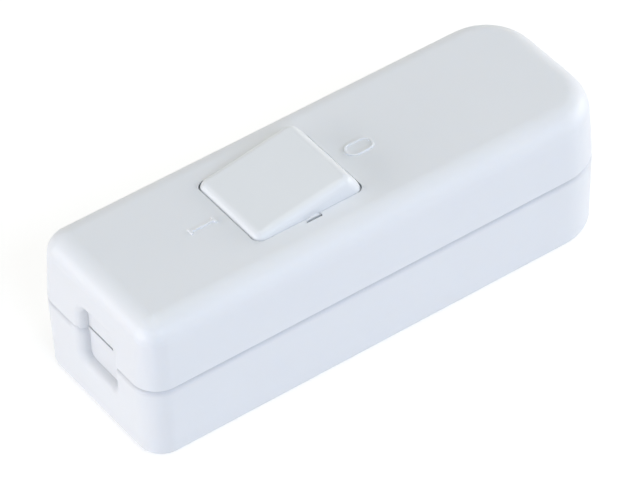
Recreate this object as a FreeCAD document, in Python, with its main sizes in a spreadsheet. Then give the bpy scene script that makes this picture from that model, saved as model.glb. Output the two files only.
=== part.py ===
# Inline cord switch, two pole, rocker operated. Millimetres, +Z up, origin under the middle of the base.
import FreeCAD
import Part
import Sketcher
import os

doc = FreeCAD.newDocument("inline_cord_switch")
sheet = doc.addObject("Spreadsheet::Sheet", "Sizes")

SIZES = {
    # Housing
    "shell_length": 85.0,
    "shell_width": 29.5,
    "shell_height": 25.2,
    "parting_height": 13.28,
    "near_corner": 4.3,
    "far_corner": 9.4,
    "top_round": 3.85,
    "base_round": 1.15,
    "upper_draft": 3.4,
    "lower_draft": 1.3,
    "side_wall": 2.0,
    "end_wall": 2.6,
    "roof": 2.2,
    "floor": 2.0,
    "inner_round": 1.2,
    "seam_height": 0.36,
    "seam_depth": 0.5,
    "rim_round": 0.8,
    "tongue_length": 60.0,
    "tongue_drop": 1.5,
    "tongue_thick": 0.9,
    "tongue_play": 0.1,
    # Cord mouths
    "mouth_width": 8.6,
    "mouth_rise": 4.4,
    "mouth_drop": 5.8,
    "mouth_corner": 1.5,
    "mouth_edge": 1.5,
    "lip_land": 0.3,
    "mouth_depth": 1.82,
    "near_mouth_shift": -0.85,
    "slit_width": 6.2,
    "slit_half": 0.235,
    # Marks on the cover
    "mark_rise": 0.25,
    "mark_edge": 0.12,
    "mark_stroke": 0.42,
    "on_mark_x": -22.5,
    "on_mark_length": 4.5,
    "on_mark_serif": 1.3,
    "off_mark_x": 5.5,
    "off_mark_length": 4.9,
    "off_mark_width": 2.9,
    # Rocker
    "pivot_x": -8.7,
    "pivot_drop": 3.98,
    "opening_length": 19.35,
    "opening_width": 15.9,
    "opening_corner": 1.5,
    "rocker_tilt": 9.0,
    "rocker_top": 6.15,
    "rocker_sweep": 10.25,
    "sweep_play": 0.15,
    "rocker_skirt": 1.6,
    "rocker_side_play": 0.03,
    "rocker_edge": 1.5,
    "corner_extra": 0.2,
    "rocker_shell": 1.4,
    "rocker_end_wall": 1.1,
    "rocker_crown": 1.8,
    "trunnion_radius": 1.3,
    "trunnion_play": 0.05,
    "trunnion_end_play": 0.1,
    "seat_reach": 1.4,
    "collar_radius": 4.05,
    "collar_play": 0.15,
    "collar_thick": 0.37,
    "collar_reach": 0.77,
    "cheek_thick": 2.0,
    "cheek_length": 7.2,
    "cheek_under": 2.4,
    "socket_radius": 2.3,
    "socket_drop": 3.6,
    "bore_top": 3.0,
    # Plungers and springs
    "plunger_play": 0.06,
    "bore_radius": 1.5,
    "plunger_head_top": 0.6,
    "plunger_head_foot": 5.2,
    "plunger_reach": 9.0,
    "tip_radius": 1.0,
    "tip_gap": 0.3,
    "spring_wire": 0.32,
    "spring_radius": 1.1,
    "spring_turns": 4.0,
    "spring_seat": 0.03,
    # Contact blades
    "pole_y": 4.6,
    "blade_tilt": 8.0,
    "blade_rise": 1.2,
    "blade_thick": 0.8,
    "blade_width": 4.0,
    "blade_front": 7.6,
    "blade_back": 5.4,
    "bead_radius": 1.0,
    "cradle_play": 0.05,
    "contact_reach": 6.0,
    "rivet_radius": 1.3,
    "rivet_head": 0.7,
    "rivet_shank": 0.8,
    "rivet_upset": 0.3,
    "rivet_play": 0.02,
    "contact_gap": 0.05,
    # Strips and terminals
    "strip_thick": 0.8,
    "strip_width": 4.4,
    "cradle_half": 1.9,
    "cradle_lip": 0.2,
    "contact_margin": 1.8,
    "in_terminal_x": -25.0,
    "out_terminal_x": 7.4,
    "terminal_length": 8.0,
    "terminal_width": 5.4,
    "terminal_height": 6.0,
    "wire_radius": 1.7,
    "wire_rise": 2.5,
    "wire_depth": 6.0,
    "terminal_screw_radius": 1.5,
    "terminal_head_radius": 2.1,
    "terminal_head": 1.6,
    "terminal_screw_depth": 3.0,
    "screw_slot": 0.6,
    "screw_slot_depth": 0.8,
    "screw_play": 0.05,
    "earth_x": 19.0,
    "earth_length": 10.0,
    "earth_screw_pitch": 5.0,
    "pedestal_margin": 0.4,
    "barrier_thick": 1.2,
    "barrier_top": 13.0,
    # Housing screws
    "near_boss_x": -35.3,
    "far_boss_x": 32.0,
    "boss_y": 9.0,
    "boss_radius": 4.0,
    "housing_screw_radius": 1.45,
    "housing_hole_play": 0.15,
    "housing_head_radius": 2.6,
    "housing_head": 2.2,
    "head_recess": 4.4,
    "head_play": 0.2,
    "housing_screw_bite": 8.0,
    "pilot_spare": 1.0,
    # Room that a cut runs past a face
    "cut_over": 1.0,
}

for row, (alias, number) in enumerate(SIZES.items(), start=1):
    sheet.set("A%d" % row, alias)
    sheet.set("B%d" % row, repr(number))
    sheet.setAlias("B%d" % row, alias)
doc.recompute()


def cell(alias):
    return "Sizes." + alias


def value(alias):
    return float(sheet.get(alias))


# Places worked out from the sizes, as expressions
LENGTH = cell("shell_length")
WIDTH = cell("shell_width")
TOP = cell("shell_height")
PARTING = cell("parting_height")
FLOOR = cell("floor")
ROOF_UNDER = "(Sizes.shell_height - Sizes.roof)"
PIVOT_X = cell("pivot_x")
PIVOT_Z = "(Sizes.shell_height - Sizes.pivot_drop)"
BLADE_TOP = ("(" + PIVOT_Z + " - Sizes.plunger_reach * cos(Sizes.rocker_tilt)"
             " - Sizes.tip_radius - Sizes.tip_gap)")
FULCRUM_Z = "(" + BLADE_TOP + " - Sizes.blade_rise * cos(Sizes.blade_tilt))"
BLADE_UNDER = "(" + BLADE_TOP + " - Sizes.blade_thick)"
FIXED_TOP = "(" + BLADE_UNDER + " - Sizes.rivet_head - Sizes.contact_gap)"
STRIP_TOP = "(" + FIXED_TOP + " - Sizes.rivet_head)"
STRIP_UNDER = "(" + STRIP_TOP + " - Sizes.strip_thick)"
TERMINAL_TOP = "(" + STRIP_TOP + " + Sizes.terminal_height)"
CONTACT_X = "(Sizes.pivot_x + Sizes.contact_reach)"
PLUNGER_RADIUS = "(Sizes.bore_radius - Sizes.plunger_play)"
SCREW_HOLE = "(Sizes.terminal_screw_radius + Sizes.screw_play)"
HEAD_SEAT = cell("head_recess")
LINE_SIDE = "Sizes.pole_y"
NEUTRAL_SIDE = "-Sizes.pole_y"
POLES = {"line": LINE_SIDE, "neutral": NEUTRAL_SIDE}

UP = FreeCAD.Vector(0, 0, 1)
ALONG_X = FreeCAD.Rotation(FreeCAD.Vector(0, 1, 0), 90)
ALONG_Y = FreeCAD.Rotation(FreeCAD.Vector(1, 0, 0), -90)
UPRIGHT = FreeCAD.Rotation()
NEAR = 1e-3
HALF_TURN = 180

parts = []


def body(label):
    made = doc.addObject("PartDesign::Body", label)
    made.Label = label
    parts.append(made)
    return made


def place(thing, spots, turn=UPRIGHT):
    thing.Placement = FreeCAD.Placement(FreeCAD.Vector(), turn)
    for axis, spot in zip("xyz", spots):
        thing.setExpression(".Placement.Base." + axis, spot)


def block(owner, kind, name, low, spans):
    made = owner.newObject("PartDesign::" + kind + "Box", name)
    for prop, span in zip(("Length", "Width", "Height"), spans):
        made.setExpression(prop, span)
    place(made, low)
    return made


def rod(owner, kind, name, start, radius, length, turn=UPRIGHT):
    made = owner.newObject("PartDesign::" + kind + "Cylinder", name)
    made.setExpression("Radius", radius)
    made.setExpression("Height", length)
    place(made, start, turn)
    return made


def sketch_on(owner, role, name, spots):
    plane = next(item for item in owner.Origin.OriginFeatures if item.Role == role)
    made = owner.newObject("Sketcher::SketchObject", name)
    made.AttachmentSupport = [(plane, "")]
    made.MapMode = "FlatFace"
    for axis, spot in zip("xyz", spots):
        made.setExpression(".AttachmentOffset.Base." + axis, spot)
    return made


def bind(sketch, kind, refs, expression, start):
    index = sketch.addConstraint(Sketcher.Constraint(kind, *refs, start))
    sketch.setExpression("Constraints[%d]" % index, expression)


def number_of(expression):
    return float(sheet.evalExpression(expression))


def segment(sketch, start, end):
    sketch.addGeometry(Part.LineSegment(FreeCAD.Vector(*start, 0), FreeCAD.Vector(*end, 0)), False)


def arc(sketch, centre, radius, start_angle, end_angle):
    circle = Part.Circle(FreeCAD.Vector(*centre, 0), UP, radius)
    start = FreeCAD.Units.Quantity(start_angle, "deg").getValueAs("rad").Value
    end = FreeCAD.Units.Quantity(end_angle, "deg").getValueAs("rad").Value
    sketch.addGeometry(Part.ArcOfCircle(circle, start, end), False)


# A rectangle with rounded corners about the sketch's own origin; low_round is on the -X side.
def rounded(sketch, length, width, low_round, high_round):
    half_x = number_of(length) / 2
    half_y = number_of(width) / 2
    low = number_of(low_round)
    high = number_of(high_round)
    corners = [
        (half_x - high, -half_y + high, high, -90),
        (half_x - high, half_y - high, high, 0),
        (-half_x + low, half_y - low, low, 90),
        (-half_x + low, -half_y + low, low, HALF_TURN),
    ]
    lines = [
        ((-half_x + low, -half_y), (half_x - high, -half_y)),
        ((half_x, -half_y + high), (half_x, half_y - high)),
        ((half_x - high, half_y), (-half_x + low, half_y)),
        ((-half_x, half_y - low), (-half_x, -half_y + low)),
    ]
    first = sketch.GeometryCount
    for (start, end), (x, y, radius, angle) in zip(lines, corners):
        segment(sketch, start, end)
        arc(sketch, (x, y), radius, angle, angle + 90)
    count = 8
    for step in range(count):
        this = first + step
        after = first + (step + 1) % count
        sketch.addConstraint(Sketcher.Constraint("Tangent", this, 2, after, 1))
    for step in (0, 4):
        sketch.addConstraint(Sketcher.Constraint("Horizontal", first + step))
        sketch.addConstraint(Sketcher.Constraint("Vertical", first + step + 2))
    sketch.addConstraint(Sketcher.Constraint("Equal", first + 1, first + 3))
    sketch.addConstraint(Sketcher.Constraint("Equal", first + 5, first + 7))
    bind(sketch, "Radius", (first + 1,), high_round, high)
    bind(sketch, "Radius", (first + 5,), low_round, low)
    bind(sketch, "DistanceX", (-1, 1, first + 2, 1), "(" + length + ") / 2", half_x)
    bind(sketch, "DistanceX", (first + 6, 1, -1, 1), "(" + length + ") / 2", half_x)
    bind(sketch, "DistanceY", (-1, 1, first + 4, 1), "(" + width + ") / 2", half_y)
    bind(sketch, "DistanceY", (first, 1, -1, 1), "(" + width + ") / 2", half_y)


# A long hole about the sketch's own origin, its length along the sketch's first axis.
def obround(sketch, length, width):
    radius = number_of(width) / 2
    reach = number_of(length) / 2 - radius
    first = sketch.GeometryCount
    segment(sketch, (-reach, -radius), (reach, -radius))
    arc(sketch, (reach, 0), radius, -90, 90)
    segment(sketch, (reach, radius), (-reach, radius))
    arc(sketch, (-reach, 0), radius, 90, 270)
    for step in range(4):
        sketch.addConstraint(Sketcher.Constraint("Tangent", first + step, 2, first + (step + 1) % 4, 1))
    sketch.addConstraint(Sketcher.Constraint("Horizontal", first))
    bind(sketch, "Radius", (first + 1,), "(" + width + ") / 2", radius)
    sketch.addConstraint(Sketcher.Constraint("PointOnObject", first + 1, 3, -1))
    reach_size = "((" + length + ") - (" + width + ")) / 2"
    bind(sketch, "DistanceX", (-1, 1, first + 1, 3), reach_size, reach)
    bind(sketch, "DistanceX", (first + 3, 3, -1, 1), reach_size, reach)


def pad(owner, sketch, name, length, reverse=False, taper=None):
    made = owner.newObject("PartDesign::Pad", name)
    made.Profile = sketch
    made.setExpression("Length", length)
    made.Reversed = reverse
    if taper:
        made.setExpression("TaperAngle", taper)
    sketch.Visibility = False
    return made


# A pocket runs against the sketch's normal, or along it when forward is set.
def pocket(owner, sketch, name, length, forward=False, taper=None):
    doc.recompute()
    made = owner.newObject("PartDesign::Pocket", name)
    made.Profile = sketch
    made.setExpression("Length", length)
    made.Reversed = forward
    if taper:
        made.setExpression("TaperAngle", taper)
    sketch.Visibility = False
    before = made.BaseFeature.Shape.Volume
    doc.recompute()
    if not made.Shape.Volume < before - NEAR:
        raise ValueError(name + " removed nothing")
    return made


def soften(owner, feature, kind, name, prop, size, test):
    doc.recompute()
    names = ["Edge%d" % (k + 1) for k, edge in enumerate(feature.Shape.Edges) if test(edge)]
    if not names:
        raise ValueError(name + " found no edge")
    made = owner.newObject("PartDesign::" + kind, name)
    made.Base = (feature, names)
    made.setExpression(prop, size)
    doc.recompute()
    return made


def at_height(height):
    return lambda edge: edge.BoundBox.ZMax < height + NEAR and edge.BoundBox.ZMin > height - NEAR


UPPER_LIP = ("min(Sizes.mouth_edge; Sizes.shell_height - Sizes.parting_height - Sizes.mouth_rise"
             " - Sizes.top_round - Sizes.lip_land)")
LOWER_LIP = ("min(Sizes.mouth_edge; Sizes.parting_height - Sizes.mouth_drop - Sizes.base_round"
             " - Sizes.lip_land)")


# The recess at one end of a shell: end is -1 for the near end and 1 for the far end.
def mouth(owner, tag, end, shift, upper):
    face = "%d * Sizes.shell_length / 2" % end
    outline = sketch_on(owner, "YZ_Plane", tag + "_mouth_outline", (shift, PARTING, face))
    reach = cell("mouth_rise") if upper else cell("mouth_drop")
    lip = UPPER_LIP if upper else LOWER_LIP
    rounded(outline, cell("mouth_width"), "(2 * " + reach + ")", cell("mouth_corner"), cell("mouth_corner"))
    made = pocket(owner, outline, tag + "_mouth", cell("mouth_depth"), forward=end < 0)
    middle = number_of(shift)
    half = value("mouth_width") / 2 + NEAR
    back = value("shell_length") / 2 - value("mouth_depth")
    parting = value("parting_height")
    tall = number_of(reach) + NEAR
    level = at_height(parting)

    def on_lip(edge):
        box = edge.BoundBox
        inside = abs(box.YMin - middle) < half and abs(box.YMax - middle) < half
        outside = min(abs(box.XMin), abs(box.XMax)) > back + value("mouth_edge") / 2
        in_height = abs(box.ZMin - parting) < tall and abs(box.ZMax - parting) < tall
        return inside and outside and in_height and box.XMin * end > 0 and not level(edge)

    if end < 0:
        soften(owner, made, "Fillet", tag + "_mouth_lip", "Radius", lip, on_lip)
    inner_face = "(Sizes.end_wall - Sizes.mouth_depth)"
    low_x = face + " + %d * Sizes.mouth_depth" % -end
    if end > 0:
        low_x = face + " - Sizes.end_wall"
    low_z = PARTING if upper else PARTING + " - Sizes.slit_half"
    low_y = shift + " + Sizes.mouth_width / 2 - Sizes.slit_width"
    block(owner, "Subtractive", tag + "_mouth_slit", (low_x, low_y, low_z),
          (inner_face, cell("slit_width"), cell("slit_half")))


def screw_spots():
    return (("near", cell("near_boss_x"), cell("boss_y")), ("far", cell("far_boss_x"), "-Sizes.boss_y"))


CAVITY_LENGTH = "(Sizes.shell_length - 2 * Sizes.end_wall)"
CAVITY_WIDTH = "(Sizes.shell_width - 2 * Sizes.side_wall)"
CAVITY_NEAR = "(Sizes.near_corner - Sizes.side_wall)"
CAVITY_FAR = "(Sizes.far_corner - Sizes.side_wall)"
ORIGIN = "0"

# Upper shell: the drafted cover with the rocker's opening
upper = body("upper_shell")
plan = sketch_on(upper, "XY_Plane", "upper_plan", (ORIGIN, ORIGIN, PARTING))
rounded(plan, LENGTH, WIDTH, cell("near_corner"), cell("far_corner"))
cover = pad(upper, plan, "cover", "Sizes.shell_height - Sizes.parting_height", taper="-Sizes.upper_draft")
soften(upper, cover, "Fillet", "cover_round", "Radius", cell("top_round"), at_height(value("shell_height")))
hollow = sketch_on(upper, "XY_Plane", "upper_hollow", (ORIGIN, ORIGIN, PARTING))
rounded(hollow, CAVITY_LENGTH, CAVITY_WIDTH, CAVITY_NEAR, CAVITY_FAR)
cavity = pocket(upper, hollow, "upper_cavity", ROOF_UNDER + " - Sizes.parting_height", forward=True,
                taper="-Sizes.upper_draft")
soften(upper, cavity, "Fillet", "upper_cavity_round", "Radius", cell("inner_round"),
       at_height(number_of(ROOF_UNDER)))
for tag, side in (("front", -1), ("rear", 1)):
    low_y = "%d * Sizes.opening_width / 2" % side
    if side < 0:
        low_y = low_y + " - Sizes.cheek_thick"
    block(upper, "Additive", tag + "_cheek",
          ("Sizes.pivot_x - Sizes.cheek_length / 2", low_y, PIVOT_Z + " - Sizes.cheek_under"),
          (cell("cheek_length"), cell("cheek_thick"),
           ROOF_UNDER + " - " + PIVOT_Z + " + Sizes.cheek_under"))
for tag, x, y in screw_spots():
    rod(upper, "Additive", tag + "_upper_boss", (x, y, PARTING), cell("boss_radius"),
        ROOF_UNDER + " - Sizes.parting_height")
    rod(upper, "Subtractive", tag + "_pilot", (x, y, PARTING),
        "Sizes.housing_screw_radius + Sizes.screw_play", "Sizes.housing_screw_bite + Sizes.pilot_spare")
window = sketch_on(upper, "XY_Plane", "rocker_window", (PIVOT_X, ORIGIN, TOP))
rounded(window, cell("opening_length"), cell("opening_width"),
        cell("opening_corner"), cell("opening_corner"))
pocket(upper, window, "rocker_opening", "Sizes.shell_height - Sizes.parting_height")
rod(upper, "Subtractive", "rocker_end_relief", (PIVOT_X, "-Sizes.opening_width / 2", PIVOT_Z),
    "Sizes.rocker_sweep + Sizes.sweep_play", cell("opening_width"), ALONG_Y)
COLLAR_SPAN = "(Sizes.opening_width + 2 * Sizes.collar_reach)"
rod(upper, "Subtractive", "collar_pocket", (PIVOT_X, "-" + COLLAR_SPAN + " / 2", PIVOT_Z),
    "Sizes.collar_radius + Sizes.collar_play", COLLAR_SPAN, ALONG_Y)
SEAT_SPAN = "(Sizes.opening_width + 2 * Sizes.seat_reach)"
rod(upper, "Subtractive", "trunnion_seat", (PIVOT_X, "-" + SEAT_SPAN + " / 2", PIVOT_Z),
    "Sizes.trunnion_radius + Sizes.trunnion_play", SEAT_SPAN, ALONG_Y)
block(upper, "Additive", "on_mark",
      ("Sizes.on_mark_x - Sizes.on_mark_length / 2", "-Sizes.mark_stroke / 2", TOP),
      (cell("on_mark_length"), cell("mark_stroke"), cell("mark_rise")))
for tag, end in (("near", -1), ("far", 1)):
    middle = "Sizes.on_mark_x + %d * (Sizes.on_mark_length - Sizes.mark_stroke) / 2" % end
    block(upper, "Additive", tag + "_serif",
          (middle + " - Sizes.mark_stroke / 2", "-Sizes.on_mark_serif / 2", TOP),
          (cell("mark_stroke"), cell("on_mark_serif"), cell("mark_rise")))
ring = sketch_on(upper, "XY_Plane", "off_mark_outline", (cell("off_mark_x"), ORIGIN, TOP))
obround(ring, cell("off_mark_length"), cell("off_mark_width"))
obround(ring, "(Sizes.off_mark_length - 2 * Sizes.mark_stroke)",
        "(Sizes.off_mark_width - 2 * Sizes.mark_stroke)")
off_mark = pad(upper, ring, "off_mark", cell("mark_rise"))
soften(upper, off_mark, "Fillet", "mark_edges", "Radius", cell("mark_edge"),
       at_height(value("shell_height") + value("mark_rise")))
TONGUE_IN = "(Sizes.shell_width / 2 - Sizes.side_wall)"
for tag, side in (("front", -1), ("rear", 1)):
    low_y = TONGUE_IN if side > 0 else "-" + TONGUE_IN + " - Sizes.tongue_thick"
    block(upper, "Additive", tag + "_tongue",
          ("-Sizes.tongue_length / 2", low_y, PARTING + " - Sizes.tongue_drop"),
          (cell("tongue_length"), cell("tongue_thick"), cell("tongue_drop")))
mouth(upper, "near_upper", -1, cell("near_mouth_shift"), True)
mouth(upper, "far_upper", 1, ORIGIN, True)
seam = sketch_on(upper, "XY_Plane", "seam_outline", (ORIGIN, ORIGIN, PARTING))
rounded(seam, "(Sizes.shell_length + 2 * Sizes.cut_over)", "(Sizes.shell_width + 2 * Sizes.cut_over)",
        cell("near_corner"), cell("far_corner"))
rounded(seam, "(Sizes.shell_length - 2 * Sizes.seam_depth)", "(Sizes.shell_width - 2 * Sizes.seam_depth)",
        "(Sizes.near_corner - Sizes.seam_depth)", "(Sizes.far_corner - Sizes.seam_depth)")
pocket(upper, seam, "seam_groove", cell("seam_height"), forward=True)

# Lower shell: the tray that carries the contacts
lower = body("lower_shell")
plan = sketch_on(lower, "XY_Plane", "lower_plan", (ORIGIN, ORIGIN, PARTING))
rounded(plan, LENGTH, WIDTH, cell("near_corner"), cell("far_corner"))
tray = pad(lower, plan, "tray", PARTING, reverse=True, taper="-Sizes.lower_draft")
tray = soften(lower, tray, "Fillet", "base_edge", "Radius", cell("base_round"), at_height(0.0))
soften(lower, tray, "Fillet", "rim_round", "Radius", cell("rim_round"), at_height(value("parting_height")))
hollow = sketch_on(lower, "XY_Plane", "lower_hollow", (ORIGIN, ORIGIN, PARTING))
rounded(hollow, CAVITY_LENGTH, CAVITY_WIDTH, CAVITY_NEAR, CAVITY_FAR)
pocket(lower, hollow, "lower_cavity", "Sizes.parting_height - Sizes.floor")
FULCRUM_LOW = "(Sizes.in_terminal_x - Sizes.terminal_length / 2)"
FULCRUM_HIGH = "(Sizes.pivot_x + Sizes.cradle_half)"
CONTACT_LOW = "(" + CONTACT_X + " - Sizes.contact_margin)"
CONTACT_HIGH = "(Sizes.out_terminal_x + Sizes.terminal_length / 2)"
PEDESTAL_WIDTH = "(Sizes.terminal_width + 2 * Sizes.pedestal_margin)"
PEDESTALS = (("fulcrum", FULCRUM_LOW, FULCRUM_HIGH), ("contact", CONTACT_LOW, CONTACT_HIGH))
for pole, side in POLES.items():
    for tag, low_x, high_x in PEDESTALS:
        block(lower, "Additive", pole + "_" + tag + "_pedestal",
              (low_x, side + " - " + PEDESTAL_WIDTH + " / 2", FLOOR),
              (high_x + " - " + low_x, PEDESTAL_WIDTH, STRIP_UNDER + " - Sizes.floor"))
block(lower, "Additive", "pole_barrier", (FULCRUM_LOW, "-Sizes.barrier_thick / 2", FLOOR),
      (CONTACT_HIGH + " - " + FULCRUM_LOW, cell("barrier_thick"), "Sizes.barrier_top - Sizes.floor"))
block(lower, "Additive", "earth_pedestal",
      ("Sizes.earth_x - Sizes.earth_length / 2", "-" + PEDESTAL_WIDTH + " / 2", FLOOR),
      (cell("earth_length"), PEDESTAL_WIDTH, STRIP_UNDER + " - Sizes.floor"))
for tag, x, y in screw_spots():
    rod(lower, "Additive", tag + "_lower_boss", (x, y, FLOOR), cell("boss_radius"),
        "Sizes.parting_height - Sizes.floor")
    rod(lower, "Subtractive", tag + "_screw_hole", (x, y, ORIGIN),
        "Sizes.housing_screw_radius + Sizes.housing_hole_play", PARTING)
    rod(lower, "Subtractive", tag + "_head_recess", (x, y, ORIGIN),
        "Sizes.housing_head_radius + Sizes.head_play", HEAD_SEAT)
REBATE_DEPTH = "(Sizes.tongue_drop + Sizes.tongue_play)"
for tag, side in (("front", -1), ("rear", 1)):
    width = "(Sizes.tongue_thick + Sizes.tongue_play)"
    low_y = TONGUE_IN if side > 0 else "-" + TONGUE_IN + " - " + width
    block(lower, "Subtractive", tag + "_rebate",
          ("-Sizes.tongue_length / 2 - Sizes.tongue_play", low_y, PARTING + " - " + REBATE_DEPTH),
          ("Sizes.tongue_length + 2 * Sizes.tongue_play", width, REBATE_DEPTH))
mouth(lower, "near_lower", -1, cell("near_mouth_shift"), False)
mouth(lower, "far_lower", 1, ORIGIN, False)

# Rocker, drawn level about its own pivot and then set in the ON position
rocker = body("rocker")
ROCKER_WIDTH = "(Sizes.opening_width - 2 * Sizes.rocker_side_play)"
profile = sketch_on(rocker, "XZ_Plane", "rocker_profile", (ORIGIN, ORIGIN, "-" + ROCKER_WIDTH + " / 2"))
sweep = value("rocker_sweep")
crown = value("rocker_top")
skirt = value("rocker_skirt")
HALF_TOP = "sqrt(Sizes.rocker_sweep ^ 2 - Sizes.rocker_top ^ 2)"
half_top = number_of(HALF_TOP)
top_angle = number_of("asin(Sizes.rocker_top / Sizes.rocker_sweep)")
segment(profile, (-sweep, -skirt), (sweep, -skirt))
segment(profile, (sweep, -skirt), (sweep, 0))
arc(profile, (0, 0), sweep, 0, top_angle)
segment(profile, (half_top, crown), (-half_top, crown))
arc(profile, (0, 0), sweep, HALF_TURN - top_angle, HALF_TURN)
segment(profile, (-sweep, 0), (-sweep, -skirt))
SIDES_OF_KEY = 6
for k in range(SIDES_OF_KEY):
    profile.addConstraint(Sketcher.Constraint("Coincident", k, 2, (k + 1) % SIDES_OF_KEY, 1))
for end in (2, 4):
    profile.addConstraint(Sketcher.Constraint("Coincident", end, 3, -1, 1))
profile.addConstraint(Sketcher.Constraint("Horizontal", 0))
profile.addConstraint(Sketcher.Constraint("Horizontal", 3))
profile.addConstraint(Sketcher.Constraint("Vertical", 1))
profile.addConstraint(Sketcher.Constraint("Vertical", 5))
profile.addConstraint(Sketcher.Constraint("PointOnObject", 2, 1, -1))
profile.addConstraint(Sketcher.Constraint("PointOnObject", 5, 1, -1))
profile.addConstraint(Sketcher.Constraint("Equal", 2, 4))
bind(profile, "Radius", (2,), cell("rocker_sweep"), sweep)
bind(profile, "DistanceY", (-1, 1, 3, 1), cell("rocker_top"), crown)
bind(profile, "DistanceY", (0, 1, -1, 1), cell("rocker_skirt"), skirt)
key = pad(rocker, profile, "key", ROCKER_WIDTH)


def on_key_end(edge):
    box = edge.BoundBox
    across = box.YMax - box.YMin < NEAR
    return across and box.ZMax > value("rocker_top") - NEAR and box.ZMin > -NEAR and box.XMax * box.XMin > 0


CORNER_ROUND = "Sizes.rocker_edge + Sizes.corner_extra"
key = soften(rocker, key, "Fillet", "key_corners", "Radius", CORNER_ROUND, on_key_end)
soften(rocker, key, "Fillet", "key_edge", "Radius", cell("rocker_edge"), at_height(value("rocker_top")))
HOLLOW_LENGTH = "(2 * (" + HALF_TOP + " - Sizes.rocker_end_wall))"
HOLLOW_WIDTH = "(" + ROCKER_WIDTH + " - 2 * Sizes.rocker_shell)"
under = sketch_on(rocker, "XY_Plane", "key_hollow_outline", (ORIGIN, ORIGIN, "-Sizes.rocker_skirt"))
rounded(under, HOLLOW_LENGTH, HOLLOW_WIDTH, cell("rocker_edge"), cell("rocker_edge"))
CROWN_UNDER = "(Sizes.rocker_top - Sizes.rocker_crown)"
pocket(rocker, under, "key_hollow", "Sizes.rocker_skirt + " + CROWN_UNDER, forward=True)
for pole, side in POLES.items():
    rod(rocker, "Additive", pole + "_socket", (ORIGIN, side, "-Sizes.socket_drop"), cell("socket_radius"),
        "Sizes.socket_drop + " + CROWN_UNDER)
    rod(rocker, "Subtractive", pole + "_bore", (ORIGIN, side, "-Sizes.socket_drop"), cell("bore_radius"),
        "Sizes.socket_drop + Sizes.bore_top")
TRUNNION_ROOT = "(" + ROCKER_WIDTH + " / 2 - Sizes.rocker_shell)"
TRUNNION_TIP = "(Sizes.opening_width / 2 + Sizes.seat_reach - Sizes.trunnion_end_play)"
for tag, start in (("front", "-" + TRUNNION_TIP), ("rear", TRUNNION_ROOT)):
    rod(rocker, "Additive", tag + "_trunnion", (ORIGIN, start, ORIGIN), cell("trunnion_radius"),
        TRUNNION_TIP + " - " + TRUNNION_ROOT, ALONG_Y)
COLLAR_ROOT = "(" + ROCKER_WIDTH + " / 2)"
for tag, start in (("front", "-" + COLLAR_ROOT + " - Sizes.collar_thick"), ("rear", COLLAR_ROOT)):
    rod(rocker, "Additive", tag + "_collar", (ORIGIN, start, ORIGIN), cell("collar_radius"),
        cell("collar_thick"), ALONG_Y)
BACKWARD_TURN = FreeCAD.Vector(0, -1, 0)


def set_on_rocker(thing):
    turn = FreeCAD.Rotation(BACKWARD_TURN, value("rocker_tilt"))
    thing.Placement = FreeCAD.Placement(FreeCAD.Vector(), turn)
    thing.setExpression(".Placement.Base.x", PIVOT_X)
    thing.setExpression(".Placement.Base.z", PIVOT_Z)
    thing.setExpression(".Placement.Rotation.Angle", cell("rocker_tilt"))


set_on_rocker(rocker)

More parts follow.
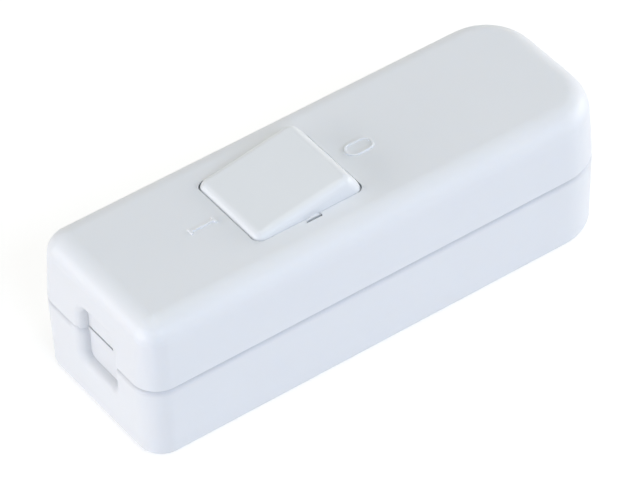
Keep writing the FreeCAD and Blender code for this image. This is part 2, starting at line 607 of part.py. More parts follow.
# One pole: plunger, spring, rocking blade, contacts, strips and terminals
for pole, side in POLES.items():
    plunger = body(pole + "_plunger")
    rod(plunger, "Additive", pole + "_plunger_head", (ORIGIN, side, "-Sizes.plunger_head_foot"),
        PLUNGER_RADIUS, "Sizes.plunger_head_foot - Sizes.plunger_head_top")
    rod(plunger, "Additive", pole + "_plunger_shank", (ORIGIN, side, "-Sizes.plunger_reach"),
        cell("tip_radius"), "Sizes.plunger_reach - Sizes.plunger_head_foot")
    tip = plunger.newObject("PartDesign::AdditiveSphere", pole + "_plunger_tip")
    tip.setExpression("Radius", cell("tip_radius"))
    place(tip, (ORIGIN, side, "-Sizes.plunger_reach"))
    set_on_rocker(plunger)

    spring = body(pole + "_plunger_spring")
    WIRE_HALF = "Sizes.spring_wire / 2"
    wire = sketch_on(spring, "XZ_Plane", pole + "_spring_wire",
                     (ORIGIN, WIRE_HALF + " + Sizes.spring_seat - Sizes.plunger_head_top",
                      "-(" + side + ")"))
    centre = FreeCAD.Vector(value("spring_radius"), 0, 0)
    wire.addGeometry(Part.Circle(centre, UP, number_of(WIRE_HALF)), False)
    wire.addConstraint(Sketcher.Constraint("PointOnObject", 0, 3, -1))
    bind(wire, "DistanceX", (-1, 1, 0, 3), cell("spring_radius"), value("spring_radius"))
    bind(wire, "Radius", (0,), WIRE_HALF, number_of(WIRE_HALF))
    coil = spring.newObject("PartDesign::AdditiveHelix", pole + "_spring_coil")
    coil.Profile = wire
    coil.ReferenceAxis = (wire, ["V_Axis"])
    coil.Mode = "height-turns-angle"
    coil.setExpression("Height", "Sizes.bore_top + Sizes.plunger_head_top - Sizes.spring_wire"
                                 " - 2 * Sizes.spring_seat")
    coil.setExpression("Turns", cell("spring_turns"))
    set_on_rocker(spring)

    blade = body(pole + "_contact_blade")
    APEX_X = "(Sizes.pivot_x + Sizes.blade_rise * sin(Sizes.blade_tilt))"
    BLADE_LOW = "(" + side + " - Sizes.blade_width / 2)"
    BACK_ANGLE = "(2 * Sizes.blade_tilt)"
    ALONG = "cos" + BACK_ANGLE
    RISING = "sin" + BACK_ANGLE
    FRONT_ROOT = "(" + APEX_X + " - Sizes.blade_thick)"
    block(blade, "Additive", pole + "_front_arm", (FRONT_ROOT, BLADE_LOW, BLADE_UNDER),
          ("Sizes.pivot_x + Sizes.blade_front - " + FRONT_ROOT, cell("blade_width"), cell("blade_thick")))
    back = block(blade, "Additive", pole + "_back_arm",
                 (APEX_X + " - Sizes.blade_back * " + ALONG + " - Sizes.blade_thick * " + RISING,
                  BLADE_LOW,
                  BLADE_TOP + " + Sizes.blade_back * " + RISING + " - Sizes.blade_thick * " + ALONG),
                 (cell("blade_back"), cell("blade_width"), cell("blade_thick")))
    turn = FreeCAD.Rotation(FreeCAD.Vector(0, 1, 0), number_of(BACK_ANGLE))
    back.Placement = FreeCAD.Placement(FreeCAD.Vector(), turn)
    back.setExpression(".Placement.Rotation.Angle", BACK_ANGLE)
    rod(blade, "Additive", pole + "_bead", (PIVOT_X, BLADE_LOW, FULCRUM_Z),
        cell("bead_radius"), cell("blade_width"), ALONG_Y)
    rod(blade, "Subtractive", pole + "_blade_hole", (CONTACT_X, side, BLADE_UNDER),
        "Sizes.rivet_shank + Sizes.rivet_play", cell("blade_thick"))

    moving = body(pole + "_moving_rivet")
    rod(moving, "Additive", pole + "_moving_head", (CONTACT_X, side, BLADE_UNDER + " - Sizes.rivet_head"),
        cell("rivet_radius"), cell("rivet_head"))
    rod(moving, "Additive", pole + "_moving_shank", (CONTACT_X, side, BLADE_UNDER),
        cell("rivet_shank"), cell("blade_thick"))
    rod(moving, "Additive", pole + "_moving_upset", (CONTACT_X, side, BLADE_TOP),
        "Sizes.rivet_shank + Sizes.rivet_upset", cell("rivet_upset"))

    STRIP_LOW = "(" + side + " - Sizes.strip_width / 2)"
    fulcrum = body(pole + "_fulcrum_strip")
    block(fulcrum, "Additive", pole + "_fulcrum_flat", (FULCRUM_LOW, STRIP_LOW, STRIP_UNDER),
          (FULCRUM_HIGH + " - " + FULCRUM_LOW, cell("strip_width"), cell("strip_thick")))
    block(fulcrum, "Additive", pole + "_cradle",
          ("Sizes.pivot_x - Sizes.cradle_half", STRIP_LOW, STRIP_UNDER),
          ("2 * Sizes.cradle_half", cell("strip_width"),
           FULCRUM_Z + " - Sizes.cradle_lip - " + STRIP_UNDER))
    rod(fulcrum, "Subtractive", pole + "_cradle_groove", (PIVOT_X, STRIP_LOW, FULCRUM_Z),
        "Sizes.bead_radius + Sizes.cradle_play", cell("strip_width"), ALONG_Y)

    contact = body(pole + "_contact_strip")
    block(contact, "Additive", pole + "_contact_flat", (CONTACT_LOW, STRIP_LOW, STRIP_UNDER),
          (CONTACT_HIGH + " - " + CONTACT_LOW, cell("strip_width"), cell("strip_thick")))
    rod(contact, "Subtractive", pole + "_strip_hole", (CONTACT_X, side, STRIP_UNDER),
        "Sizes.rivet_shank + Sizes.rivet_play", cell("strip_thick"))

    fixed = body(pole + "_fixed_rivet")
    rod(fixed, "Additive", pole + "_fixed_head", (CONTACT_X, side, STRIP_TOP),
        cell("rivet_radius"), cell("rivet_head"))
    rod(fixed, "Additive", pole + "_fixed_shank", (CONTACT_X, side, STRIP_UNDER),
        cell("rivet_shank"), cell("strip_thick"))

    WIRE_Z = "(" + STRIP_TOP + " + Sizes.wire_rise)"
    for tag, x, outward in (("in", cell("in_terminal_x"), -1), ("out", cell("out_terminal_x"), 1)):
        terminal = body(pole + "_" + tag + "_terminal")
        block(terminal, "Additive", pole + "_" + tag + "_pillar",
              (x + " - Sizes.terminal_length / 2", side + " - Sizes.terminal_width / 2", STRIP_TOP),
              (cell("terminal_length"), cell("terminal_width"), cell("terminal_height")))
        wire_start = x + " - Sizes.terminal_length / 2"
        if outward > 0:
            wire_start = x + " + Sizes.terminal_length / 2 - Sizes.wire_depth"
        rod(terminal, "Subtractive", pole + "_" + tag + "_wire_hole", (wire_start, side, WIRE_Z),
            cell("wire_radius"), cell("wire_depth"), ALONG_X)
        rod(terminal, "Subtractive", pole + "_" + tag + "_screw_hole", (x, side, WIRE_Z),
            SCREW_HOLE, cell("terminal_height"))

# Earth terminal, through from one cord to the other
earth = body("earth_terminal")
block(earth, "Additive", "earth_bar",
      ("Sizes.earth_x - Sizes.earth_length / 2", "-Sizes.terminal_width / 2", STRIP_UNDER),
      (cell("earth_length"), cell("terminal_width"), cell("terminal_height")))
rod(earth, "Subtractive", "earth_wire_hole",
    ("Sizes.earth_x - Sizes.earth_length / 2", ORIGIN, STRIP_UNDER + " + Sizes.wire_rise"),
    cell("wire_radius"), cell("earth_length"), ALONG_X)
EARTH_SPOTS = ("Sizes.earth_x - Sizes.earth_screw_pitch / 2", "Sizes.earth_x + Sizes.earth_screw_pitch / 2")
for k, x in enumerate(EARTH_SPOTS):
    rod(earth, "Subtractive", "earth_screw_hole_%d" % k, (x, ORIGIN, STRIP_UNDER + " + Sizes.wire_rise"),
        SCREW_HOLE, cell("terminal_height"))


def solid_rod(name, start, radius, length):
    made = doc.addObject("Part::Cylinder", name)
    made.setExpression("Radius", radius)
    made.setExpression("Height", length)
    place(made, start)
    return made


# A slotted screw; way is 1 when the head is on top and -1 when it points down.
def screw(name, spot, seat, head_radius, head, shank_radius, depth, way):
    head_low = seat if way > 0 else seat + " - " + head
    shank_low = seat + " - " + depth if way > 0 else seat
    cap = solid_rod(name + "_cap", (*spot, head_low), head_radius, head)
    stem = solid_rod(name + "_stem", (*spot, shank_low), shank_radius, depth)
    whole = doc.addObject("Part::Fuse", name + "_blank")
    whole.Base = cap
    whole.Tool = stem
    slot = doc.addObject("Part::Box", name + "_slot")
    slot.setExpression("Length", cell("screw_slot"))
    slot.setExpression("Width", "2 * " + head_radius)
    slot.setExpression("Height", cell("screw_slot_depth"))
    slot_low = seat + " + " + head + " - Sizes.screw_slot_depth" if way > 0 else head_low
    place(slot, (spot[0] + " - Sizes.screw_slot / 2", spot[1] + " - " + head_radius, slot_low))
    made = doc.addObject("Part::Cut", name)
    made.Base = whole
    made.Tool = slot
    return made


def group(label, members):
    made = doc.addObject("Part::Compound", label)
    made.Label = label
    made.Links = members
    parts.append(made)


def terminal_screw(name, spot, seat):
    return screw(name, spot, seat, cell("terminal_head_radius"), cell("terminal_head"),
                 cell("terminal_screw_radius"), cell("terminal_screw_depth"), 1)


terminal_screws = []
for pole, side in POLES.items():
    for tag, x in (("in", cell("in_terminal_x")), ("out", cell("out_terminal_x"))):
        terminal_screws.append(terminal_screw(pole + "_" + tag + "_screw", (x, side), TERMINAL_TOP))
group("terminal_screws", terminal_screws)
EARTH_TOP = "(" + STRIP_UNDER + " + Sizes.terminal_height)"
group("earth_screws", [terminal_screw("earth_screw_%d" % k, (x, ORIGIN), EARTH_TOP)
                       for k, x in enumerate(EARTH_SPOTS)])
SCREW_DEPTH = "(Sizes.parting_height - Sizes.head_recess + Sizes.housing_screw_bite)"
group("housing_screws", [screw(tag + "_housing_screw", (x, y), HEAD_SEAT, cell("housing_head_radius"),
                               cell("housing_head"), cell("housing_screw_radius"), SCREW_DEPTH, -1)
                         for tag, x, y in screw_spots()])

doc.recompute()
for thing in doc.Objects:
    if "Invalid" in thing.State or "Error" in thing.State:
        raise ValueError(thing.Label + " did not build")
os.makedirs("parts", exist_ok=True)
for thing in parts:
    shape = thing.Shape
    if shape.isNull() or not shape.isValid():
        raise ValueError(thing.Label + " has no sound shape")
    shape.exportStep("parts/" + thing.Label + ".step")
    print(thing.Label, len(shape.Solids), round(shape.Volume, 2), [round(v, 2) for v in (
        shape.BoundBox.XMin, shape.BoundBox.XMax, shape.BoundBox.YMin, shape.BoundBox.YMax,
        shape.BoundBox.ZMin, shape.BoundBox.ZMax)])
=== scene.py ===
# Inline cord switch: finishes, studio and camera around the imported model. Metres, in the model's own frame.
import math

import bmesh
import bpy
from mathutils import Matrix, Vector


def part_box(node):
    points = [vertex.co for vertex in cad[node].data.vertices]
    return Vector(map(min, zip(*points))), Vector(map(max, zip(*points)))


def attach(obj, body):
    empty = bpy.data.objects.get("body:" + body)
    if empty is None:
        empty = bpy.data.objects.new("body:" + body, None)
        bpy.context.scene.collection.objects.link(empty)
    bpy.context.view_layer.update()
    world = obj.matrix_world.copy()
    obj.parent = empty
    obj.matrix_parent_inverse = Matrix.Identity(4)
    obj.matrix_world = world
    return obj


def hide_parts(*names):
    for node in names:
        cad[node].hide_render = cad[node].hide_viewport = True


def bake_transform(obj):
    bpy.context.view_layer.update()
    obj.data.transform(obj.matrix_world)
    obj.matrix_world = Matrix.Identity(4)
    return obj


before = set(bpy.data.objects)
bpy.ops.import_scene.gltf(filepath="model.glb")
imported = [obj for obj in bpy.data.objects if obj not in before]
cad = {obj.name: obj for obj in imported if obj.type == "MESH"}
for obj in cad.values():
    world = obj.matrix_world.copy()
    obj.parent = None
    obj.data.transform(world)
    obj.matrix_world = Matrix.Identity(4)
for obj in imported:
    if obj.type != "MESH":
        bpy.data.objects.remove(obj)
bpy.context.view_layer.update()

MM = 0.001
FLAT_COSINE = math.cos(math.radians(0.6))
CREASE_COSINE = math.cos(math.radians(32))


# Node building shared by the finishes and the screw maker

def find(sockets, key):
    for socket in sockets:
        if socket.identifier == key:
            return socket
    return sockets[key]


def join(tree, socket, term):
    if isinstance(term, Wire):
        tree.links.new(term.socket, socket)
    elif isinstance(term, bpy.types.NodeSocket):
        tree.links.new(term, socket)
    else:
        socket.default_value = term


def add(tree, kind, settings=None, sockets=None):
    made = tree.nodes.new(kind)
    for name, setting in (settings or {}).items():
        setattr(made, name, setting)
    for key, term in (sockets or {}).items():
        join(tree, find(made.inputs, key), term)
    return made


class Wire:
    """A shader socket that arithmetic turns into Math nodes."""

    def __init__(self, tree, socket):
        self.tree = tree
        self.socket = socket

    def maths(self, operation, first, second):
        terms = {"Value": first, "Value_001": second}
        made = add(self.tree, "ShaderNodeMath", {"operation": operation}, terms)
        return Wire(self.tree, made.outputs[0])

    def __add__(self, other):
        return self.maths("ADD", self, other)

    def __radd__(self, other):
        return self.maths("ADD", other, self)

    def __mul__(self, other):
        return self.maths("MULTIPLY", self, other)

    def __rmul__(self, other):
        return self.maths("MULTIPLY", other, self)

    def __abs__(self):
        return self.maths("ABSOLUTE", self, 0.0)


class Finish:
    """A material whose nodes are written as expressions."""

    def __init__(self, name):
        self.material = bpy.data.materials.new(name)
        self.material.use_nodes = True
        self.tree = self.material.node_tree
        self.tree.nodes.clear()

    def node(self, kind, settings=None, out=0, **sockets):
        keys = {key.replace("_", " "): term for key, term in sockets.items()}
        made = add(self.tree, kind, settings, keys)
        return Wire(self.tree, find(made.outputs, out) if isinstance(out, str) else made.outputs[out])

    def place(self, stretch=(1, 1, 1)):
        spot = self.node("ShaderNodeTexCoord", out="Object")
        return self.node("ShaderNodeMapping", Vector=spot, Scale=stretch)

    def noise(self, spot, size, detail=2.0, rough=0.5):
        return self.node("ShaderNodeTexNoise", Vector=spot, Scale=1 / size, Detail=detail, Roughness=rough)

    def blend(self, factor, low, high):
        made = add(self.tree, "ShaderNodeMix", {"data_type": "RGBA"},
                   {"Factor_Float": factor, "A_Color": low, "B_Color": high})
        return Wire(self.tree, find(made.outputs, "Result_Color"))

    def ease(self, reading, low, high):
        return self.node("ShaderNodeMapRange", {"interpolation_type": "SMOOTHSTEP"},
                         Value=reading, From_Min=low, From_Max=high)

    def bump(self, height, depth, strength):
        return self.node("ShaderNodeBump", Height=height, Distance=depth, Strength=strength)

    def surface(self, **sockets):
        skin = self.node("ShaderNodeBsdfPrincipled", **sockets)
        add(self.tree, "ShaderNodeOutputMaterial", None, {"Surface": skin})
        return self.material


# Finishes of the real pieces

def moulded_white(name, low, high, gloss, grain_depth, glow, painted_seam_shade=0.0):
    made = Finish(name)
    spot = made.place()
    flow = made.noise(spot, 14 * MM, 3.0)
    grain = made.noise(spot, 0.16 * MM, 2.0, 0.6)
    colour = made.blend(flow, low, high)
    # painted shade: below the seam, away from the end mouths, the colour is blended towards a grey that
    # stands in for the shadow under the cover's edge
    if painted_seam_shade:
        height = made.node("ShaderNodeSeparateXYZ", out="Z", Vector=spot)
        across = made.node("ShaderNodeSeparateXYZ", out="Y", Vector=spot)
        shade_below_seam = made.ease(height, PAINTED_SHADE_FOOT, SEAM)
        off_mouth = made.ease(abs(across), *MOUTH_CLEAR)
        colour = made.blend(shade_below_seam * off_mouth * painted_seam_shade, colour, PAINTED_SEAM_SHADOW)
    return made.surface(
        Base_Color=colour,
        Roughness=gloss + 0.06 * flow + 0.05 * grain,
        IOR=1.5,
        Subsurface_Weight=glow,
        Subsurface_Radius=(1.0, 0.9, 0.8),
        Subsurface_Scale=0.6 * MM,
        Normal=made.bump(grain, grain_depth, 0.25),
    )


def drawn_metal(name, low, high, gloss, stretch):
    made = Finish(name)
    lines = made.noise(made.place(stretch), 0.5 * MM, 4.0, 0.65)
    stain = made.noise(made.place(), 3 * MM, 2.0)
    return made.surface(
        Base_Color=made.blend(0.5 * lines + 0.5 * stain, low, high),
        Metallic=1.0,
        Roughness=gloss + 0.14 * lines,
        Normal=made.bump(lines, 0.01 * MM, 0.3),
    )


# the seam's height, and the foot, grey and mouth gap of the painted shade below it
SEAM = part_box("lower_shell")[1].z
PAINTED_SHADE_FOOT = SEAM - 1.1 * MM
PAINTED_SEAM_SHADOW = (0.30, 0.31, 0.34, 1)
MOUTH_CLEAR = (5.0 * MM, 6.5 * MM)
SHELL_WHITES = ((0.780, 0.800, 0.830, 1), (0.800, 0.818, 0.845, 1))
cover_white = moulded_white("satin_white_shell", *SHELL_WHITES, 0.36, 0.004 * MM, 0.35)
# the tray's finish carries the painted shade below the seam
tray_white_with_painted_shade = moulded_white("satin_white_tray_painted_seam_shade", *SHELL_WHITES, 0.36, 0.004 * MM, 0.35, 0.25)
ROCKER_WHITES = ((0.775, 0.800, 0.822, 1), (0.795, 0.815, 0.836, 1))
rocker_white = moulded_white("satin_white_rocker", *ROCKER_WHITES, 0.30, 0.003 * MM, 0.05)
acetal = moulded_white("natural_acetal", (0.70, 0.68, 0.61, 1), (0.76, 0.74, 0.67, 1), 0.42, 0.006 * MM, 0.3)
brass = drawn_metal("milled_brass", (0.62, 0.44, 0.18, 1), (0.76, 0.57, 0.27, 1), 0.24, (1, 6, 6))
copper = drawn_metal("rolled_copper", (0.62, 0.30, 0.17, 1), (0.80, 0.46, 0.30, 1), 0.22, (1, 8, 1))
silver = drawn_metal("silver_contact", (0.70, 0.69, 0.66, 1), (0.86, 0.85, 0.82, 1), 0.20, (1, 1, 1))
zinc = drawn_metal("zinc_plate", (0.52, 0.54, 0.57, 1), (0.68, 0.69, 0.71, 1), 0.26, (1, 1, 1))
spring_wire = drawn_metal("spring_wire", (0.42, 0.42, 0.43, 1), (0.60, 0.60, 0.61, 1), 0.22, (1, 1, 1))


def dress(node, material):
    skin = cad[node].data
    skin.materials.clear()
    skin.materials.append(material)


for pole in ("line", "neutral"):
    dress(pole + "_plunger", acetal)
    dress(pole + "_contact_blade", copper)
    for end in ("moving", "fixed"):
        dress(pole + "_" + end + "_rivet", silver)
    for strip in ("fulcrum", "contact"):
        dress(pole + "_" + strip + "_strip", brass)
    for end in ("in", "out"):
        dress(pole + "_" + end + "_terminal", brass)
dress("earth_terminal", brass)


# Moulded pieces: the model's own form with its facets joined and its normals evened

def keep(mesh, label):
    made = bpy.data.objects.new(label, mesh)
    bpy.context.scene.collection.objects.link(made)
    return made


def settle(draft, label):
    bpy.context.view_layer.update()
    graph = bpy.context.evaluated_depsgraph_get()
    final = draft.evaluated_get(graph)
    mesh = bpy.data.meshes.new_from_object(final, preserve_all_data_layers=True, depsgraph=graph)
    mesh.name = label
    bpy.data.objects.remove(draft)
    return keep(mesh, label)


def flat_patches(shape):
    """The area of the flat patch that each facet belongs to."""
    areas = {}
    for seed in shape.faces:
        if seed in areas:
            continue
        patch = [seed]
        areas[seed] = 0.0
        for facet in patch:
            for edge in facet.edges:
                for other in edge.link_faces:
                    if other not in areas and seed.normal.dot(other.normal) > FLAT_COSINE:
                        areas[other] = 0.0
                        patch.append(other)
        whole = sum(facet.calc_area() for facet in patch)
        for facet in patch:
            areas[facet] = whole
    return areas


def smooth_fans(vertex):
    """The facets around a vertex, parted where an edge between two of them is sharp."""
    left = set(vertex.link_faces)
    while left:
        fan = [left.pop()]
        for facet in fan:
            for edge in facet.edges:
                if vertex in edge.verts:
                    for other in edge.link_faces:
                        if other in left and facet.normal.dot(other.normal) > CREASE_COSINE:
                            left.remove(other)
                            fan.append(other)
        yield fan


def even_normals(mesh):
    """Corner normals: a broad flat keeps its own direction up to its edge, and a round is averaged."""
    shape = bmesh.new()
    shape.from_mesh(mesh)
    areas = flat_patches(shape)
    normals = [Vector((0, 0, 1))] * len(mesh.loops)
    for vertex in shape.verts:
        for fan in smooth_fans(vertex):
            broadest = max(areas[facet] for facet in fan)
            whole = Vector()
            corners = [corner for corner in vertex.link_loops if corner.face in fan]
            for corner in corners:
                if areas[corner.face] > 0.5 * broadest:
                    whole += corner.face.normal * corner.calc_angle()
            for corner in corners:
                normals[corner.index] = whole.normalized()
    shape.free()
    mesh.normals_split_custom_set(normals)


def evened_copy(node, material):
    mesh = cad[node].data.copy()
    shape = bmesh.new()
    shape.from_mesh(mesh)
    bmesh.ops.remove_doubles(shape, verts=shape.verts, dist=0.002 * MM)
    shape.to_mesh(mesh)
    shape.free()
    mesh.materials.clear()
    mesh.materials.append(material)
    mesh.shade_smooth()
    even_normals(mesh)
    return mesh


def moulding(node, label, body, material):
    made = keep(evened_copy(node, material), label)
    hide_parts(node)
    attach(made, body)


moulding("upper_shell", "cover_moulding", "housing", cover_white)
moulding("lower_shell", "tray_moulding", "housing", tray_white_with_painted_shade)
moulding("rocker", "rocker_moulding", "rocker", rocker_white)

# Thin webs that round the four corners of the rocker's opening, flush with the cover's top

OPENING_MIDDLE = -8.7 * MM
OPENING_HALF_LENGTH = 9.675 * MM
OPENING_HALF_WIDTH = 7.95 * MM
RELIEF_HALF_LENGTH = 9.608 * MM
OPENING_ROUND = 1.5 * MM
COVER_TOP = 25.2 * MM
WEB_DEPTH = 0.5 * MM
WEB_STEPS = 10


def corner_webs():
    centre_x = OPENING_HALF_LENGTH - OPENING_ROUND
    centre_y = OPENING_HALF_WIDTH - OPENING_ROUND
    start = math.acos((RELIEF_HALF_LENGTH - centre_x) / OPENING_ROUND)
    turns = [start + (math.pi / 2 - start) * k / WEB_STEPS for k in range(WEB_STEPS + 1)]
    outline = [(centre_x + OPENING_ROUND * math.cos(turn), centre_y + OPENING_ROUND * math.sin(turn))
               for turn in turns]
    outline.append((RELIEF_HALF_LENGTH, OPENING_HALF_WIDTH))
    shape = bmesh.new()
    for end, side in ((-1, -1), (-1, 1), (1, -1), (1, 1)):
        rings = [[shape.verts.new((OPENING_MIDDLE + end * x, side * y, z)) for x, y in outline]
                 for z in (COVER_TOP, COVER_TOP - WEB_DEPTH)]
        shape.faces.new(rings[0])
        shape.faces.new(rings[1])
        for k in range(len(outline)):
            shape.faces.new((rings[0][k - 1], rings[0][k], rings[1][k], rings[1][k - 1]))
    bmesh.ops.recalc_face_normals(shape, faces=shape.faces)
    mesh = bpy.data.meshes.new("opening_corner_webs")
    shape.to_mesh(mesh)
    shape.free()
    mesh.materials.append(cover_white)
    made = keep(mesh, "opening_corner_webs")
    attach(made, "housing")


corner_webs()


# Plunger springs: each spring is shown as an evened copy of the model's coil, and the model's spring is
# hidden

ROCKER_LEAN = math.radians(9.0)


def plunger_spring(pole):
    node = pole + "_plunger_spring"
    low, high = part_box(node)
    middle = (low + high) / 2
    tall, wide = high.z - low.z, high.x - low.x
    length = (tall * math.cos(ROCKER_LEAN) - wide * math.sin(ROCKER_LEAN)) / math.cos(2 * ROCKER_LEAN)
    half = Vector((-math.sin(ROCKER_LEAN), 0, math.cos(ROCKER_LEAN))) * length / 2
    made = keep(evened_copy(node, spring_wire), pole + "_coil")
    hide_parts(node)
    middle + half
    middle - half
    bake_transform(made)


for pole in ("line", "neutral"):
    plunger_spring(pole)


# Screws: slotted cheese heads with a rolled thread, set on their seats

def screw_maker():
    tree = bpy.data.node_groups.new("slotted_screws", "GeometryNodeTree")
    face = tree.interface
    face.new_socket("Seats", in_out="INPUT", socket_type="NodeSocketGeometry")
    for name in ("Head radius", "Head height", "Slot width", "Slot depth", "Core radius", "Thread radius",
                 "Length", "Pitch"):
        face.new_socket(name, in_out="INPUT", socket_type="NodeSocketFloat")
    face.new_socket("Turn", in_out="INPUT", socket_type="NodeSocketVector")
    face.new_socket("Finish", in_out="INPUT", socket_type="NodeSocketMaterial")
    face.new_socket("Screws", in_out="OUTPUT", socket_type="NodeSocketGeometry")
    given = tree.nodes.new("NodeGroupInput").outputs

    def sum_of(operation, first, second):
        terms = {"Value": first, "Value_001": second}
        return add(tree, "ShaderNodeMath", {"operation": operation}, terms).outputs[0]

    def spot(x=0.0, y=0.0, z=0.0):
        return add(tree, "ShaderNodeCombineXYZ", None, {"X": x, "Y": y, "Z": z}).outputs[0]

    def shifted(shape, where):
        return add(tree, "GeometryNodeTransform", None, {"Geometry": shape, "Translation": where}).outputs[0]

    head = add(tree, "GeometryNodeMeshCone", None, {
        "Vertices": 64, "Radius Top": sum_of("MULTIPLY", given["Head radius"], 0.92),
        "Radius Bottom": given["Head radius"], "Depth": given["Head height"]}).outputs[0]
    cutter = add(tree, "GeometryNodeMeshCube", None, {"Size": add(tree, "ShaderNodeCombineXYZ", None, {
        "X": given["Slot width"], "Y": sum_of("MULTIPLY", given["Head radius"], 3.0),
        "Z": sum_of("MULTIPLY", given["Slot depth"], 2.0)}).outputs[0]}).outputs[0]
    slotted = add(tree, "GeometryNodeMeshBoolean", {"operation": "DIFFERENCE"}, {
        "Mesh 1": head, "Mesh 2": shifted(cutter, spot(z=given["Head height"]))}).outputs[0]
    core = add(tree, "GeometryNodeMeshCylinder", None, {
        "Vertices": 32, "Radius": given["Core radius"], "Depth": given["Length"]}).outputs[0]
    core = shifted(core, spot(z=sum_of("MULTIPLY", given["Length"], -0.5)))
    run = sum_of("MULTIPLY", given["Length"], 0.86)
    mean = sum_of("MULTIPLY", sum_of("ADD", given["Core radius"], given["Thread radius"]), 0.5)
    helix = add(tree, "GeometryNodeCurveSpiral", None, {
        "Resolution": 24, "Rotations": sum_of("DIVIDE", run, given["Pitch"]), "Start Radius": mean,
        "End Radius": mean, "Height": run}).outputs[0]
    ridge_height = sum_of("SUBTRACT", given["Thread radius"], given["Core radius"])
    ridge = add(tree, "GeometryNodeCurvePrimitiveCircle", {"mode": "RADIUS"}, {
        "Resolution": 4, "Radius": sum_of("MULTIPLY", ridge_height, 0.5)}).outputs[0]
    thread = add(tree, "GeometryNodeCurveToMesh", None, {
        "Curve": helix, "Profile Curve": ridge, "Fill Caps": True}).outputs[0]
    thread = shifted(thread, spot(z=sum_of("MULTIPLY", given["Length"], -0.97)))
    whole = tree.nodes.new("GeometryNodeJoinGeometry")
    for shape in (slotted, core, thread):
        tree.links.new(shape, whole.inputs[0])
    placed = add(tree, "GeometryNodeInstanceOnPoints", None, {
        "Points": given["Seats"], "Instance": whole.outputs[0], "Rotation": given["Turn"]}).outputs[0]
    real = add(tree, "GeometryNodeRealizeInstances", None, {"Geometry": placed}).outputs[0]
    done = add(tree, "GeometryNodeSetMaterial", None, {
        "Geometry": real, "Material": given["Finish"]}).outputs[0]
    end = tree.nodes.new("NodeGroupOutput")
    tree.links.new(done, end.inputs[0])
    return tree


SCREWS = screw_maker()


def screws(node, seats, head_radius, head_height, shank_radius, length, turn):
    seats_mesh = bpy.data.meshes.new(node + "_seats")
    seats_mesh.from_pydata([Vector(seat) * MM for seat in seats], [], [])
    draft = keep(seats_mesh, node + "_draft")
    maker = draft.modifiers.new("screws", "NODES")
    maker.node_group = SCREWS
    sizes = {
        "Head radius": head_radius * MM, "Head height": head_height * MM, "Slot width": 0.6 * MM,
        "Slot depth": 0.8 * MM, "Core radius": (shank_radius - 0.18) * MM, "Thread radius": shank_radius * MM,
        "Length": length * MM, "Pitch": 0.5 * MM, "Turn": turn, "Finish": zinc,
    }
    for item in SCREWS.interface.items_tree:
        if item.in_out == "INPUT" and item.name in sizes:
            maker[item.identifier] = sizes[item.name]
    made = settle(draft, node.replace("screws", "slotted_screws"))
    made.data.shade_smooth()
    made.data.set_sharp_from_angle(angle=math.radians(35))
    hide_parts(node)
    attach(made, "housing")


TERMINAL_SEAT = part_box("line_in_terminal")[1].z / MM
EARTH_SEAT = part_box("earth_terminal")[1].z / MM
HOUSING_LOW, HOUSING_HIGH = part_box("housing_screws")
UPRIGHT = (0.0, 0.0, 0.0)
HEAD_DOWN = (math.pi, 0.0, 0.0)
TERMINAL_PLACES = [(x, y, TERMINAL_SEAT) for x in (-25.0, 7.4) for y in (-4.6, 4.6)]
EARTH_PLACES = [(x, 0, EARTH_SEAT) for x in (16.5, 21.5)]
HOUSING_HEAD = 2.2
HOUSING_SEAT = HOUSING_LOW.z / MM + HOUSING_HEAD
HOUSING_PLACES = [(-35.3, 9.0, HOUSING_SEAT), (32.0, -9.0, HOUSING_SEAT)]
HOUSING_SHANK = HOUSING_HIGH.z / MM - HOUSING_SEAT
TERMINAL_SIZES = {"head_radius": 2.1, "head_height": 1.6, "shank_radius": 1.5, "length": 3.0}
HOUSING_SIZES = {"head_radius": 2.6, "head_height": HOUSING_HEAD, "shank_radius": 1.45,
                 "length": HOUSING_SHANK}
screws("terminal_screws", TERMINAL_PLACES, turn=UPRIGHT, **TERMINAL_SIZES)
screws("earth_screws", EARTH_PLACES, turn=UPRIGHT, **TERMINAL_SIZES)
screws("housing_screws", HOUSING_PLACES, turn=HEAD_DOWN, **HOUSING_SIZES)


# Studio: a pale floor, soft boxes and the camera of the photograph

FLOOR_PALE = (0.55, 0.55, 0.55, 1)
FLOOR_GLOW = 0.28
FLOOR_SEEN = 0.29


def pale_floor():
    made = Finish("pale_floor")
    path = made.node("ShaderNodeLightPath", out="Is Camera Ray")
    gloss = made.node("ShaderNodeLightPath", out="Is Glossy Ray")
    through = made.node("ShaderNodeLightPath", out="Is Transmission Ray")
    seen = (path + gloss + through) * FLOOR_SEEN + FLOOR_GLOW
    matte = made.node("ShaderNodeBsdfDiffuse", Color=FLOOR_PALE)
    glow = made.node("ShaderNodeEmission", Color=(1, 1, 1, 1), Strength=seen)
    both = add(made.tree, "ShaderNodeAddShader", None, {"Shader": matte, "Shader_001": glow})
    add(made.tree, "ShaderNodeOutputMaterial", None, {"Surface": both.outputs[0]})
    return made.material


FLOOR_HALF = 3.0
FLOOR_LEVEL = -0.02 * MM
floor_mesh = bpy.data.meshes.new("studio_floor")
FLOOR_CORNERS = [(x * FLOOR_HALF, y * FLOOR_HALF, FLOOR_LEVEL)
                 for x, y in ((-1, -1), (1, -1), (1, 1), (-1, 1))]
floor_mesh.from_pydata(FLOOR_CORNERS, [], [(0, 1, 2, 3)])
floor_mesh.materials.append(pale_floor())
keep(floor_mesh, "studio_floor")

world = bpy.data.worlds.new("soft_room")
bpy.context.scene.world = world
world.use_nodes = True
sky = world.node_tree
sky.nodes.clear()
shine = add(sky, "ShaderNodeBackground", None, {"Color": (0.96, 0.996, 1.0, 1), "Strength": 0.249})
add(sky, "ShaderNodeOutputWorld", None, {"Surface": shine.outputs[0]})


LAMP_REACH = 2.0
LAMP_WIDTH = 1.3
LAMP_HEIGHT = 1.0


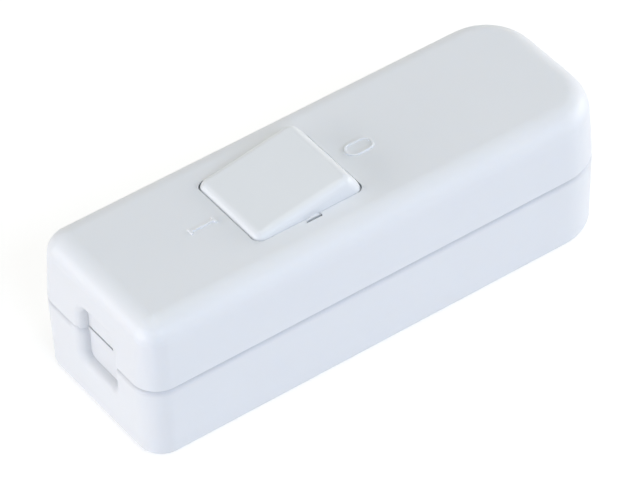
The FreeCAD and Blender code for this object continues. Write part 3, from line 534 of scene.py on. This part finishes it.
def soft_box(name, azimuth, elevation, power, tint):
    turn, lift = math.radians(azimuth), math.radians(elevation)
    way = Vector((math.cos(turn) * math.cos(lift), math.sin(turn) * math.cos(lift), math.sin(lift)))
    lamp = bpy.data.lights.new(name, "AREA")
    lamp.shape = "RECTANGLE"
    lamp.size = LAMP_WIDTH
    lamp.size_y = LAMP_HEIGHT
    lamp.energy = power
    lamp.color = tint
    made = bpy.data.objects.new(name, lamp)
    facing = way.to_track_quat("Z", "Y").to_matrix().to_4x4()
    made.matrix_world = Matrix.Translation(way * LAMP_REACH) @ facing
    bpy.context.scene.collection.objects.link(made)


for name, azimuth, elevation, power, tint in (
    ("rear_end_box", 150, 10, 12.8, (0.98, 0.97, 1.0)),
    ("near_end_box", 180, 10, 14.5, (0.98, 0.95, 1.0)),
    ("front_box", 270, 35, 17.8, (0.71, 0.80, 1.0)),
    ("far_front_box", 345, 8, 21.5, (1.0, 0.985, 0.98)),
    ("far_rear_box", 30, 15, 4.5, (1.0, 0.91, 0.92)),
    ("top_box", 0, 89, 12.0, (1.0, 0.99, 0.86)),
):
    soft_box(name, azimuth, elevation, power, tint)


def photo_camera(azimuth, elevation, roll, distance, focal, middle):
    turn, lift, lean = (math.radians(angle) for angle in (azimuth, elevation, roll))
    back = Vector((math.sin(turn) * math.cos(lift), -math.cos(turn) * math.cos(lift), math.sin(lift)))
    side = Vector((0, 0, 1)).cross(back).normalized()
    rise = back.cross(side)
    right = side * math.cos(lean) + rise * math.sin(lean)
    up = rise * math.cos(lean) - side * math.sin(lean)
    frame_width, frame_height = 640, 480
    across, down = frame_width / 2 - middle[0], frame_height / 2 - middle[1]
    ahead = -back + right * across / focal - up * down / focal
    rear = -ahead.normalized()
    right = (right - rear * right.dot(rear)).normalized()
    up = rear.cross(right)
    lens = bpy.data.cameras.new("photo_camera")
    lens.sensor_fit = "HORIZONTAL"
    lens.sensor_width = 36.0
    lens.lens = focal * lens.sensor_width / frame_width
    lens.clip_start = 0.01
    lens.clip_end = 20.0
    made = bpy.data.objects.new("photo_camera", lens)
    turned = Matrix((right, up, rear)).transposed().to_4x4()
    made.matrix_world = Matrix.Translation(back * distance) @ turned
    bpy.context.scene.collection.objects.link(made)
    bpy.context.scene.camera = made


photo_camera(azimuth=-34.593, elevation=43.721, roll=-2.087, distance=663.5 * MM, focal=4422.6,
             middle=(332.949, 286.742))
bpy.context.scene.view_settings.view_transform = "Standard"
